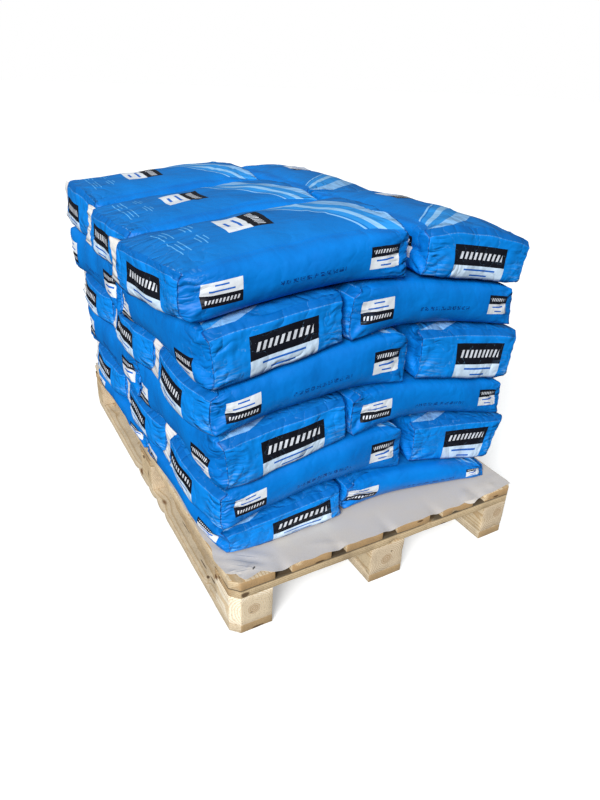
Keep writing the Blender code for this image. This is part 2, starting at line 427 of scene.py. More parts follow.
def side_line(skin, kind, top_free, has_flap):
    """How far out the long sides are. The loose flap of an open low end stands off over the neighbour."""
    a, b, c = skin[:3]
    end = np.exp(-skin.gap / FOLD_REACH)
    power = lerp(np.where(c > 0.0, HEAD_ROUNDNESS, FOOT_ROUNDNESS), END_SQUARENESS, end)
    belly = (1.0 - np.abs(c) ** power) ** (1.0 / power)
    depth = lerp(np.where(c > 0.0, TOP_BELLY if top_free else BELLY, LOW_BELLY), END_BELLY, end)
    foot_in = np.where(b < 0, kind.foot_minus, kind.foot_plus)
    head_in = np.where(b < 0, kind.head_minus, kind.head_plus)
    standing_in = lerp(foot_in, head_in, (c + 1.0) / 2.0)
    y = b * (HALF_WIDTH - standing_in * end - depth + depth * belly)
    if has_flap:
        by_flap = smooth((b - FLAP_FROM) / (1.0 - FLAP_FROM)) * (a < 0) * np.exp(-skin.gap / FLAP_REACH)
        y += by_flap * lerp(FLAP_MIDDLE, FLAP_CORNER, np.abs(c) ** 2)
    return y


def end_line(skin, kind, has_flap):
    """How far out the ends are: bowed in the middle, with a crisp fold line over which the paper leans back,
    and a foot that is tucked in, less so by the loose flap."""
    a, b, c = skin[:3]
    fold = fold_level(b)
    over_fold = np.clip((c - fold) / (1.0 - fold), 0.0, 1.0)
    by_plus_side = (1.0 + b) / 2.0
    by_flap = by_plus_side if has_flap else 0.0
    tucked = np.where(c > 0.0, 0.0, 0.5 * np.abs(c) ** 1.6 + np.abs(c) ** 5)
    back = kind.bow * np.abs(b) ** 2.4 - kind.skew * by_plus_side
    back += END_TILT * c + kind.lean * over_fold + kind.tuck * tucked * (1.0 - 0.8 * by_flap)
    return a * HALF_LENGTH - np.sign(a) * back * np.exp(-skin.gap / END_REACH)


def height_share(skin, kind, top_free):
    """Top and bottom lie on the seams, and fall away from them by the ends and along the rims."""
    c = skin.c
    drop = np.where(c > 0, kind.drop, FOOT_DROP)
    reach = END_DROP_REACH * (FREE_TOP_REACH if top_free else 1.0)
    w = c * (1.0 - drop * np.exp(-(skin.gap / reach) ** 1.3))
    rim = np.exp(-np.minimum(skin.gap, skin.side) / SEAM_OPEN_REACH)
    return w - np.where(c > 0.0, SEAM_OPEN_HEAD, SEAM_OPEN_FOOT) * c * c * c * rim


def fold_upright_edges(skin, x, y, w, chance):
    """Pinches the upright edges a little at mid height, rounds them off at top and foot, and lets puckers run
    in from them. x, y and w are moved in place."""
    a, b, c = skin[:3]
    from_edge = skin.gap + skin.side
    by_edge = np.exp(-from_edge / PINCH_REACH)
    pull = PINCH * (1.0 - c ** 2) + CORNER_ROUNDING * np.abs(c) ** 7
    x -= np.sign(a) * pull * by_edge
    y -= np.sign(b) * pull * by_edge
    w -= np.sign(c) * CORNER_SINK * by_edge * np.abs(c) ** 6

    # The four edges lie far apart in the ripple, so that each has puckers of its own
    fade = np.exp(-from_edge / PUCKER_REACH)
    fan = c * (1.0 + 6.0 * from_edge)
    edge = np.sign(a) * 3.1 + np.sign(b) * 7.7
    lines = ripple(np.stack((fan * HALF_HEIGHT, edge), axis=1), PUCKER_SIZE, chance)
    x += np.sign(a) * PUCKER * lines * fade * skin.on_end
    y += np.sign(b) * PUCKER * lines * fade * skin.on_side


def press_block_ends(skin, y):
    """Long sides by the ends: the flat triangle of the folded block end, and the old fold of the tube."""
    inside = (1.0 - np.abs(skin.c)) * HALF_HEIGHT - skin.gap * FACET_SLOPE
    press = FACET_DEPTH * smooth(inside / FACET_FADE) - FACET_RIM * np.exp(-(inside / FOLD_WIDTH) ** 2)
    from_tube = (skin.c - TUBE_LEVEL) * HALF_HEIGHT
    tube = TUBE_CREASE * np.exp(-(from_tube / FOLD_WIDTH) ** 2) * smooth((TUBE_LENGTH - skin.gap) / TUBE_FADE)
    y -= np.sign(skin.b) * (press + tube) * skin.on_side


def pleat_corners(skin, x, y, chance):
    """Pleats that fan out of the foot and head corners, over the ends and over the sides."""
    a, b, c = skin[:3]
    end_plan = np.stack((b * HALF_WIDTH, c * HALF_HEIGHT), axis=1)
    side_plan = skin.plan[:, (0, 2)]
    for left in (-1, 1):
        for up, count in PLEATS:
            for number in range(count):
                angle = math.radians(chance.uniform(*PLEAT_ANGLES) + PLEAT_STEP * number)
                length = chance.uniform(*PLEAT_LENGTHS)
                run = np.array((-left * math.cos(angle), -up * math.sin(angle))) * length
                root = np.array((left * HALF_WIDTH * 0.98, up * HALF_HEIGHT * 0.9))
                line = crease(end_plan, root, root + run, chance.uniform(*CREASE_WIDTHS))
                depth = chance.uniform(-END_PLEAT_DEPTH, END_PLEAT_DEPTH)
                x += np.sign(a) * depth * line * skin.on_end * smooth(skin.side / PLEAT_FADE)
                for face in (-1, 1):
                    root = np.array((left * HALF_LENGTH * 0.985, up * HALF_HEIGHT * 0.9))
                    tip = root + run * chance.uniform(0.6, 1.2)
                    line = crease(side_plan, root, tip, chance.uniform(*CREASE_WIDTHS))
                    depth = chance.uniform(-SIDE_PLEAT_DEPTH, SIDE_PLEAT_DEPTH)
                    depth = depth * smooth(skin.gap / PLEAT_FADE)
                    y += face * depth * line * skin.on_side * (np.sign(b) == face)


def crease_sides(skin, y, chance):
    """Long, shallow creases wherever the paper was bent."""
    side_plan = skin.plan[:, (0, 2)]
    for _ in range(SIDE_CREASES):
        where = chance.choice((-1, 1)) * HALF_LENGTH * chance.uniform(0.15, 0.95)
        start = (where, chance.uniform(-0.9, 0.1) * HALF_HEIGHT)
        finish = (where + chance.uniform(-0.07, 0.07), start[1] + chance.uniform(0.02, 0.07))
        line = crease(side_plan, start, finish, chance.uniform(*CREASE_WIDTHS))
        depth = chance.uniform(-SIDE_CREASE_DEPTH, SIDE_CREASE_DEPTH)
        on_face = skin.on_side * (np.sign(skin.b) == chance.choice((-1, 1)))
        y -= np.sign(skin.b) * depth * line * on_face


def surface_lift(skin, crown, chance):
    """Wrinkles of top and bottom by the ends, and the crowned, creased top of an uppermost sack."""
    c = skin.c
    flat = skin.plan[:, :2]
    end = np.exp(-skin.gap / FOLD_REACH)
    wrinkled = WRINKLE * ripple(skin.plan, WRINKLE_SIZE, chance) * end
    wrinkled += RIDGED_WRINKLE * (1.0 - np.abs(ripple(flat, RIDGED_WRINKLE_SIZE, chance))) * end
    lift = np.sign(c) * wrinkled * (np.abs(c) == 1.0)
    if crown is None:
        return lift
    raised = crown_height(skin.a, crown) * (1.0 - np.abs(skin.b) ** 2.6)
    raised += TOP_WAVE * ripple(flat, TOP_WAVE_SIZE, chance)
    for _ in range(TOP_CREASES):
        start = np.array((chance.uniform(-1, 1) * HALF_LENGTH, chance.uniform(-1, 1) * HALF_WIDTH))
        finish = start + np.array((chance.uniform(-0.09, 0.09), chance.uniform(-0.09, 0.09)))
        line = crease(flat, start, finish, chance.uniform(*TOP_CREASE_WIDTHS))
        raised += chance.uniform(-TOP_CREASE_DEPTH, TOP_CREASE_DEPTH) * line
    return lift + raised * smooth((c - 0.35) / 0.65)


def sack_form(a, b, c, ends, crown, has_flap, chance):
    """Where the points of the box grid lie on one filled sack: x, y in metres, height share, and lift in
    metres. ends gives the shapes of its low end and its high end, crown how far a free top is raised, and
    has_flap whether the low end has a loose flap."""
    skin = flat_skin(a, b, c)
    kind = End(*(np.where(a < 0, low, high) for low, high in zip(*ends)))
    top_free = crown is not None
    x = end_line(skin, kind, has_flap)
    y = side_line(skin, kind, top_free, has_flap)
    w = height_share(skin, kind, top_free)
    fold_upright_edges(skin, x, y, w, chance)
    press_block_ends(skin, y)
    pleat_corners(skin, x, y, chance)
    crease_sides(skin, y, chance)

    # The fill settles unevenly
    away_from_end = 1.0 - np.exp(-skin.gap / FOLD_REACH)
    y += np.sign(b) * SETTLED_SIDES * ripple(skin.plan, SIDE_WAVE_SIZE, chance) * skin.on_side * away_from_end
    x += np.sign(a) * SETTLED_ENDS * ripple(skin.plan, END_WAVE_SIZE, chance) * skin.on_end
    return x, y, w, surface_lift(skin, crown, chance)


def end_shapes(node):
    """The shapes of a sack's low end and high end. Ends that press on another sack are full and flat."""
    odd = int(node[5]) % 2 == 1
    pressed = TOP_PRESSED if node in TOP_CROWNS else PRESSED
    if node[-1] == "d":
        return pressed, OWN_ENDS.get(node, FRONT_LEFT if odd else FRONT_RIGHT)
    if node[-1] == "e":
        return BACK, pressed
    if odd:
        return pressed, OPEN_RIGHT
    return OWN_ENDS.get(node, OPEN_LEFT), pressed


def print_plan(points, sides):
    """The sack's print, laid out flat in metres: (u, v) for each corner of each quad, by the side it is on.
    Top and bottom use v near 0 and 3, the long sides v near -1 and 1, and the ends u near -2 and 2."""
    x = points[..., 0] * HALF_LENGTH
    y = points[..., 1] * HALF_WIDTH
    z = points[..., 2] * HALF_HEIGHT
    plans = {"top": (x, y), "bottom": (x, y + 3.0), "front": (x, z - 1.0), "back": (-x, z + 1.0),
             "left": (-2.0 - y, z), "right": (2.0 + y, z)}
    flat = np.zeros(points.shape[:-1] + (2,))
    for name, (u, v) in plans.items():
        here = sides == name
        flat[here, :, 0] = u[here]
        flat[here, :, 1] = v[here]
    return flat


def sack_place(node):
    """Middle, long axis and cross axis of a sack, read from its solid. The print runs from -axis to +axis."""
    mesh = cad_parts[node].data
    spots = np.zeros(len(mesh.vertices) * 3)
    mesh.vertices.foreach_get("co", spots)
    flat = np.unique(np.round(spots.reshape(-1, 3)[:, :2], 6), axis=0)
    axis = np.linalg.eigh(np.cov(flat.T))[1][:, 1]
    leading = axis[0] if node[-1] in "abc" else -axis[1]
    axis = axis * math.copysign(1.0, leading)
    across = np.array((-axis[1], axis[0]))
    along_span = flat @ axis
    across_span = flat @ across
    middle = axis * (along_span.min() + along_span.max()) / 2
    middle = middle + across * (across_span.min() + across_span.max()) / 2
    return middle, axis, across


def own_print(node, corners, sides):
    """The print plan of one sack, moved where its own print is off the usual place."""
    flat = print_plan(corners, sides)
    on_front = sides == "front"
    flat[(sides == "left") | (sides == "right"), :, 0] -= END_PRINT_OFF.get(node, 0.0)
    flat[on_front, :, 1] += SIDE_PRINT_DROP.get(node, 0.0)

    # On the sacks with the letter a only the panel by the low end is off, and the shift fades out past it
    along = flat[on_front, :, 0]
    moved = smooth(0.5 - along / 0.1) if node[-1] == "a" else 1.0
    flat[on_front, :, 0] = along - SIDE_PRINT_OFF.get(node, 0.0) * moved
    return flat


def make_sack(node, grid, finish):
    """One filled sack in place of its solid: the box grid, formed, laid between its seams and printed."""
    points, quads, sides = grid
    layer = int(node[5])
    chance = random.Random(node)
    a, b, c = points.T
    has_flap = layer % 2 == 0 and node[-1] in "abc"
    x, y, w, lift = sack_form(a, b, c, end_shapes(node), TOP_CROWNS.get(node), has_flap, chance)
    x -= SHORTENED.get(node, 0.0) * smooth(a)
    behind, ahead = CREPT_OUT.get(node, (0.0, 0.0))
    y -= lerp(behind * smooth(0.3 - c), ahead, smooth((a + 1.0) / 1.7)) * smooth(-b)

    # Each layer lies between its two seams, except where a sack sank
    middle, axis, across = sack_place(node)
    spot = middle + np.outer(x, axis) + np.outer(y, across)
    low = seam_height(layer - 1, spot[:, 0]) + (SEAM_GAP / 2 if layer > 1 else 0.0)
    high = seam_height(layer, spot[:, 0]) - SEAM_GAP / 2
    height = low + (high - low) * (w + 1.0) / 2.0 + lift
    height -= FOOT_SANK.get(node, 0.0) * smooth(a) * smooth((1.0 + b) / 2.0) * smooth(-c)
    height -= HEAD_SANK.get(node, 0.0) * smooth(a) * smooth((1.0 - b) / 2.0) * smooth(c)

    mesh = bpy.data.meshes.new(f"paper_{node}")
    mesh.from_pydata(np.column_stack((spot, height)).tolist(), [], quads.tolist())
    plan = mesh.uv_layers.new(name="Print")
    plan.data.foreach_set("uv", own_print(node, points[quads], sides).ravel())
    mark_folds(mesh, a, b, c, chance.uniform(0.0, 50.0), float(has_flap))
    mesh.shade_smooth()
    mesh.materials.append(finish)
    sack = bpy.data.objects.new(f"paper_{node}", mesh)
    bpy.context.scene.collection.objects.link(sack)
    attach(sack, "root")
    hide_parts(node)


def mark_folds(mesh, a, b, c, shift, has_flap):
    """Stores how far each point is from the nearest upright fold, from the end and from the end's fold line,
    a shift that keeps one sack's wrinkles from looking like another's, how far it is from the flap's edge,
    whether there is a flap, and its height share."""
    gap = (1.0 - np.abs(a)) * HALF_LENGTH
    side = (1.0 - np.abs(b)) * HALF_WIDTH
    fold = (c - fold_level(b)) * HALF_HEIGHT + gap
    store = mesh.attributes.new("Folds", "FLOAT_VECTOR", "POINT")
    store.data.foreach_set("vector", np.stack((gap + side, gap, fold), axis=1).ravel())
    own = mesh.attributes.new("Own", "FLOAT", "POINT")
    own.data.foreach_set("value", np.full(len(a), shift))
    flap = mesh.attributes.new("Flap", "FLOAT_VECTOR", "POINT")
    from_flap = (1.0 + a) * HALF_LENGTH + (1.0 - b) * HALF_WIDTH
    flap.data.foreach_set("vector", np.stack((from_flap, np.full(len(a), has_flap), c), axis=1).ravel())


# Finish of the sacks


def patch(tree, place, middle, size):
    """1 inside a rectangle of the print, else 0. place is the plan's (u, v)."""
    across = add(tree, "Math", (place[0], middle[0], size[0] / 2), operation="COMPARE")
    up = add(tree, "Math", (place[1], middle[1], size[1] / 2), operation="COMPARE")
    return add(tree, "Math", (across, up), operation="MULTIPLY")


def printed(tree, place, middle, size, ground, colour):
    """Lays a rectangle of one ink over what is printed so far."""
    inside = patch(tree, place, middle, size)
    return add(tree, "Mix", (inside, ground, hex_colour(colour)), data_type="RGBA")


def striped(tree, place, middle, size, pitch, ground, colour):
    """Lays a row of slanting strokes over what is printed so far."""
    leaning = add(tree, "Math", (place[1], -STROKE_SLANT, place[0]), operation="MULTIPLY_ADD")
    step = add(tree, "Math", (leaning, 1 / pitch), operation="MULTIPLY")
    step = add(tree, "Math", (step,), operation="FRACT")
    stroke = add(tree, "Math", (step, STROKE_SHARE), operation="LESS_THAN")
    inside = add(tree, "Math", (patch(tree, place, middle, size), stroke), operation="MULTIPLY")
    return add(tree, "Mix", (inside, ground, hex_colour(colour)), data_type="RGBA")


def panel(tree, place, middle, size, dark_share, turned, pale, ground):
    """A two-tone panel: a dark field with a row of strokes over a pale field with two plain lines. Turned
    puts the dark field below."""
    across, high = size
    way = -1.0 if turned else 1.0
    dark_high = high * dark_share
    pale_high = high - dark_high
    dark_v = middle[1] + way * (high - dark_high) / 2
    pale_v = middle[1] - way * (high - pale_high) / 2
    colour = printed(tree, place, (middle[0], pale_v), (across, pale_high), ground, pale)
    colour = printed(tree, place, (middle[0], dark_v), (across, dark_high), colour, PANEL_DARK)
    colour = striped(tree, place, (middle[0], dark_v), (across * 0.84, dark_high * 0.36), across * 0.088,
                     colour, "#D9DEE6")
    for level, share in ((0.20, 0.62), (-0.22, 0.34)):
        spot = (middle[0], pale_v + way * level * pale_high)
        colour = printed(tree, place, spot, (across * share, pale_high * 0.13), colour, "#2668C4")
    return colour


# Where a point is on its sack: its place on the print plan, the sack's own shift, and the plan with that
# shift; how far it is from the nearest upright fold, the end, the end's fold line and the flap's edge;
# whether there is a flap, and its height share; and how near it is to the upright folds and to the end,
# from 0 to 1
Spot = namedtuple("Spot", "place own own_plan from_upright from_end over_fold from_flap has_flap level "
                          "near_upright near_end")


def read_spot(tree):
    """Reads what mark_folds stored, and the print plan."""
    place = add(tree, "SeparateXYZ", (add(tree, "UVMap", uv_map="Print"),)).outputs[:2]
    own = add(tree, "Attribute", attribute_name="Own").outputs["Fac"]
    own_plan = add(tree, "CombineXYZ", (*place, own))
    folds = add(tree, "Attribute", attribute_name="Folds").outputs["Vector"]
    folds = add(tree, "SeparateXYZ", (folds,)).outputs
    flap = add(tree, "Attribute", attribute_name="Flap").outputs["Vector"]
    flap = add(tree, "SeparateXYZ", (flap,)).outputs
    near_upright, near_end = (
        add(tree, "MapRange", (distance, 0.0, reach, 1.0, 0.0), interpolation_type="SMOOTHSTEP")
        for distance, reach in ((folds[0], FOLDED_FROM_EDGE), (folds[1], FOLDED_FROM_END)))
    return Spot(place, own, own_plan, *folds, *flap, near_upright, near_end)


def base_ink(tree, at):
    """The sack's blue: uneven in blotches of 110 mm. The ends get a lighter ink than the long sides, which is
    painted light for the light they catch, and are darker over their fold lines.
    """
    spot = add(tree, "TexCoord").outputs["Object"]
    uneven = add(tree, "TexNoise", {"Vector": spot, "Scale": 9.0, "Detail": 5.0, "Roughness": 0.65})
    uneven = add(tree, "MapRange", (uneven, 0.35, 0.65, 0.0, 1.0))
    colour = add(tree, "Mix", (uneven, hex_colour("#056FC6"), hex_colour("#047CD7")), data_type="RGBA")
    # Painted light: the ends get a lighter ink than the long sides, and a darker one over the fold line
    over = add(tree, "Math", (at.over_fold, 0.0), operation="GREATER_THAN")
    lit_end_ink = add(tree, "Mix", (over, hex_colour("#0A86E3"), hex_colour("#0364B4")), data_type="RGBA")
    on_end = add(tree, "Math", (at.from_end, ON_END), operation="LESS_THAN")
    on_end = add(tree, "Math", (on_end, 0.8), operation="MULTIPLY")
    return add(tree, "Mix", (on_end, colour, lit_end_ink), data_type="RGBA")


def top_print(tree, at, colour):
    """A top dulled to a greyer blue, partly by dust and partly by a painted sheen, with broad slanted bands
    of paler blues by one end and fine print by the other, as short ruled lines."""
    u, v = at.place
    on_top = add(tree, "Math", (v, 0.0, 0.2), operation="COMPARE")
    off_end = add(tree, "Math", (at.from_end, ON_END), operation="GREATER_THAN")
    on_top = add(tree, "Math", (on_top, off_end), operation="MULTIPLY")
    # Dust, and a painted sheen: the top is tinted a greyer blue
    dust_and_sheen = add(tree, "Math", (on_top, 0.7), operation="MULTIPLY")
    colour = add(tree, "Mix", (dust_and_sheen, colour, hex_colour("#1273C0")), data_type="RGBA")
    leaning = add(tree, "Math", (v, BAND_SLANT, u), operation="MULTIPLY_ADD")
    for middle, half, shade in TOP_BANDS:
        band = add(tree, "Math", (leaning, middle, half), operation="COMPARE")
        band = add(tree, "Math", (band, on_top), operation="MULTIPLY")
        colour = add(tree, "Mix", (band, colour, hex_colour(shade)), data_type="RGBA")
    for middle, wide in TOP_LINES:
        for across in (-0.055, 0.055):
            colour = printed(tree, at.place, (middle, across), (0.0022, wide), colour, "#5FB0EC")
    return colour


def panels(tree, at, colour):
    """One panel across the top, one on each end and two on each long side."""
    u, v = at.place
    turned_place = (add(tree, "Math", (v, -1.0), operation="MULTIPLY"), u)
    colour = panel(tree, turned_place, (0.012, -0.056), (0.125, 0.095), 0.46, False, PANEL_PALE, colour)
    for side in (-1.0, 1.0):
        for middle, size, dark_share, turned, pale in (
                ((side * 2.028, -0.014), (0.164, 0.080), 0.58, False, END_PANEL_PALE),
                ((-0.165, side + 0.002), (0.080, 0.048), 0.47, True, PANEL_PALE),
                ((0.184, side + 0.002), (0.074, 0.048), 0.47, False, PANEL_PALE)):
            colour = panel(tree, at.place, middle, size, dark_share, turned, pale, colour)
    return colour


def batch_mark(tree, at, colour):
    """The ink-jet mark on each long side: groups of random dots that spell nothing. They are 2 mm apart, as
    coarse as they need to be to show."""
    plan = add(tree, "UVMap", uv_map="Print")
    cell = add(tree, "VectorMath", (plan, (500.0, 500.0, 0.0)), operation="MULTIPLY")
    cell = add(tree, "VectorMath", (cell,), operation="FLOOR")
    cell = add(tree, "VectorMath", (cell, add(tree, "CombineXYZ", (0.0, 0.0, at.own))), operation="ADD")
    dot = add(tree, "TexWhiteNoise", (cell,), noise_dimensions="3D")
    dot = add(tree, "Math", (dot, 0.5), operation="GREATER_THAN")
    group = add(tree, "Math", (at.place[0], 71.0), operation="MULTIPLY")
    group = add(tree, "Math", (group,), operation="FRACT")
    group = add(tree, "Math", (group, 0.25), operation="GREATER_THAN")
    for side in (-1.0, 1.0):
        share = patch(tree, at.place, (0.020, side - 0.008), (0.140, 0.009))
        for part in (dot, group, 0.9):
            share = add(tree, "Math", (share, part), operation="MULTIPLY")
        colour = add(tree, "Mix", (share, colour, hex_colour("#082A70")), data_type="RGBA")
    return colour


def bare_flap(tree, at, colour):
    """The bare paper of the folded flap at one upright edge of one end: ragged, and some 18 mm wide."""
    ragged = add(tree, "TexNoise", {"Vector": at.own_plan, "Scale": 60.0, "Detail": 2.0})
    width = add(tree, "Math", (ragged, 0.010, 0.013), operation="MULTIPLY_ADD")
    bare = add(tree, "Math", (at.from_flap, width), operation="LESS_THAN")
    on_end = add(tree, "Math", (at.from_end, 0.004), operation="LESS_THAN")
    for part in (on_end, at.has_flap):
        bare = add(tree, "Math", (bare, part), operation="MULTIPLY")
    return add(tree, "Mix", (bare, colour, hex_colour("#EDEAE6")), data_type="RGBA")


def folded_paper(tree, at):
    """The relief of the paper: puckers across the upright folds, slanting pleats, and a net of sharp creases.
    Gives its height, where pleats are pressed in sharply and get painted shade, and the net."""
    # The plan is pushed aside by up to 30 mm, in waves of 90 mm, so that no crease runs dead straight
    warp = add(tree, "TexNoise", {"Vector": at.own_plan, "Scale": 11.0, "Detail": 2.0})
    warp = add(tree, "VectorMath", (warp.outputs["Color"], (0.06, 0.06, 0.0)), operation="MULTIPLY")
    warped = add(tree, "VectorMath", (at.own_plan, warp), operation="ADD")

    # Pleats some 110 mm long and 25 mm apart, on three headings, each strong in patches 80 mm wide
    lines = 0.0
    pleat_shade = 0.0
    for turn, along, across, weight in PLEAT_WAYS:
        folds_way = add(tree, "Mapping", {"Vector": warped, "Rotation": (0.0, 0.0, turn),
                                          "Location": (turn * 9.0, 0.0, 0.0), "Scale": (along, across, 1.0)})
        pleats = add(tree, "TexNoise", {"Vector": folds_way, "Scale": 1.0, "Detail": 1.6, "Roughness": 0.45})
        pleats = add(tree, "Math", (pleats, 0.5), operation="SUBTRACT")
        pleats = add(tree, "Math", (pleats,), operation="ABSOLUTE")
        elsewhere = add(tree, "VectorMath", (at.own_plan, (turn * 20.0, 3.0, 0.0)), operation="ADD")
        where = add(tree, "TexNoise", {"Vector": elsewhere, "Scale": 13.0, "Detail": 1.0})
        where = add(tree, "MapRange", (where, 0.40, 0.60, 0.1, weight))
        pleats = add(tree, "Math", (pleats, where), operation="MULTIPLY")
        lines = add(tree, "Math", (lines, pleats), operation="ADD")
        # The sharpest pleats, where they are strong, get painted shade
        dark = add(tree, "MapRange", (pleats, 0.0, 0.016, 1.0, 0.0))
        strong = add(tree, "MapRange", (where, 0.8, weight, 0.0, 1.0))
        dark = add(tree, "Math", (dark, strong), operation="MULTIPLY")
        pleat_shade = add(tree, "Math", (pleat_shade, dark), operation="MAXIMUM")

    # A net of creases 50 mm apart, and waves of 55 mm
    net = add(tree, "TexNoise", {"Vector": warped, "Scale": 21.0, "Detail": 2.0, "Roughness": 0.4})
    net = add(tree, "Math", (add(tree, "Math", (net, 0.5), operation="SUBTRACT"),), operation="ABSOLUTE")
    wave = add(tree, "TexNoise", {"Vector": at.own_plan, "Scale": 18.0, "Detail": 3.0})
    height = add(tree, "Math", (lines, at.near_upright), operation="MULTIPLY")
    creased = add(tree, "Math", (at.near_end, 0.9, 0.35), operation="MULTIPLY_ADD")
    height = add(tree, "Math", (net, creased, height), operation="MULTIPLY_ADD")
    height = add(tree, "Math", (wave, 0.3, height), operation="MULTIPLY_ADD")
    return height, pleat_shade, net


def rubbed_ink(tree, at, net, colour):
    """Ink rubbed off along the creases and in 5 mm dots along the end's fold line, and scuffed off by the
    lower corners of the ends in slanting streaks, 40 mm long and 5 mm apart."""
    rub = add(tree, "TexNoise", {"Vector": at.own_plan, "Scale": 210.0, "Detail": 4.0, "Roughness": 0.7})
    on_end = add(tree, "Math", (at.from_end, 0.003), operation="LESS_THAN")
    line = add(tree, "Math", (at.over_fold,), operation="ABSOLUTE")
    line = add(tree, "MapRange", (line, 0.0003, 0.0011, 1.0, 0.0))
    ridge = add(tree, "MapRange", (net, 0.0, 0.008, 0.5, 0.0))
    slanting = add(tree, "Mapping", {"Vector": at.own_plan, "Rotation": (0.0, 0.0, 0.5),
                                     "Scale": (26.0, 210.0, 1.0)})
    streak = add(tree, "TexNoise", {"Vector": slanting, "Scale": 1.0, "Detail": 4.0, "Roughness": 0.65})
    streak = add(tree, "MapRange", (streak, 0.50, 0.64, 0.0, 0.80))
    low = add(tree, "MapRange", (at.place[1], -0.050, 0.005, 1.0, 0.0))
    worn = 0.0
    for mark, *parts in ((ridge, at.near_end, add(tree, "MapRange", (rub, 0.48, 0.62, 0.0, 0.6))),
                         (line, on_end, add(tree, "MapRange", (rub, 0.44, 0.62, 0.05, 0.42))),
                         (streak, on_end, low, at.near_upright)):
        for part in parts:
            mark = add(tree, "Math", (mark, part), operation="MULTIPLY")
        worn = add(tree, "Math", (worn, mark), operation="MAXIMUM")
    return add(tree, "Mix", (worn, colour, hex_colour("#8FC4EF")), data_type="RGBA")


def painted_crease_shade(tree, at, pleat_shade, colour):
    """Painted shade, laid into the colour as a darker blue: along the upright folds, in the sharpest pleats,
    and at the foot, where the sack presses on the sack below.
    """
    # Painted shade along the upright folds
    dark = add(tree, "MapRange", (at.from_upright, 0.0008, 0.0040, 0.75, 0.0))
    pleat_shade = add(tree, "Math", (add(tree, "Math", (pleat_shade, at.near_upright), operation="MULTIPLY"), 0.55),
               operation="MULTIPLY")
    # Painted shade at the foot, where the sack rests on the one below
    foot = add(tree, "MapRange", (at.level, -0.99, -0.84, 0.75, 0.0), interpolation_type="SMOOTHSTEP")
    for part in (pleat_shade, foot):
        dark = add(tree, "Math", (dark, part), operation="MAXIMUM")
    return add(tree, "Mix", (dark, colour, hex_colour("#05337C")), data_type="RGBA")


def printed_paper():
    """Coated kraft paper, flexo-printed in a saturated blue under a satin varnish. The eye sees an even, deep
    colour with soft, broad highlights, small puckers that fan out of the folds, and pale spots where the ink
    is rubbed off."""
    material, tree = new_material("flexo_printed_sack_paper")
    at = read_spot(tree)
    height, pleat_shade, net = folded_paper(tree, at)
    colour = base_ink(tree, at)
    for layer in (top_print, panels, batch_mark, bare_flap):
        colour = layer(tree, at, colour)
    colour = rubbed_ink(tree, at, net, colour)
    # Painted shade in the upright folds, the sharpest pleats and at the foot
    colour = painted_crease_shade(tree, at, pleat_shade, colour)
    bump = add(tree, "Bump", {"Height": height, "Strength": 1.0, "Distance": 0.0110})
    shader = add(tree, "BsdfPrincipled", {"Base Color": colour, "Roughness": 0.45, "IOR": 1.45,
                                          "Specular IOR Level": 0.23, "Normal": bump})
    add(tree, "OutputMaterial", (shader,))
    return material


# The pallet's timber


def chamfer_corners(low, high):
    """Cuts off, in edit mode, the upright edges that stand on the pallet's own corners."""
    for x_way in (-1, 1):
        for y_way in (-1, 1):
            corner_x = low.x if x_way < 0 else high.x
            corner_y = low.y if y_way < 0 else high.y
            inside_x = abs(corner_x) < PALLET_WIDTH / 2 - SAME_PLACE
            inside_y = abs(corner_y) < PALLET_LENGTH / 2 - SAME_PLACE
            if inside_x or inside_y:
                continue
            bpy.ops.mesh.select_all(action="SELECT")
            bpy.ops.mesh.bisect(plane_co=(corner_x - x_way * CORNER_CHAMFER, corner_y, 0.0),
                                plane_no=(x_way, y_way, 0.0), use_fill=True, clear_outer=True)


def cut_across(piece, axis, cuts):
    """Cuts every edge that runs along one axis into equal lengths, so that the piece can be knocked and worn.
    """
    way = Vector((0.0, 0.0, 0.0))
    way[axis] = 1.0
    shape = bmesh.from_edit_mesh(piece.data)
    for edge in shape.edges:
        edge.select = abs((edge.verts[1].co - edge.verts[0].co).normalized().dot(way)) > 0.99
    bmesh.update_edit_mesh(piece.data)
    bpy.ops.mesh.subdivide(number_cuts=cuts)


def knock_edges(piece, chance, knocks):
    """Small dents and splintered spots on the arrises, pushed in one at a time."""
    for _ in range(knocks):
        bpy.ops.mesh.select_all(action="DESELECT")
        shape = bmesh.from_edit_mesh(piece.data)
        sharp = [vert for vert in shape.verts
                 if any(edge.is_manifold and edge.calc_face_angle() > 0.8 for edge in vert.link_edges)]
        vert = chance.choice(sharp)
        inwards = -vert.normal
        vert.select = True
        bmesh.update_edit_mesh(piece.data)
        depth = chance.uniform(*KNOCK_DEPTHS)
        bpy.ops.transform.translate(value=tuple(inwards * depth), use_proportional_edit=True,
                                    proportional_edit_falloff="SHARP",
                                    proportional_size=chance.uniform(*KNOCK_SIZES))


def rough_texture(name, size):
    made = bpy.data.textures.new(name, "CLOUDS")
    made.noise_scale = size
    made.noise_depth = 2
    return made


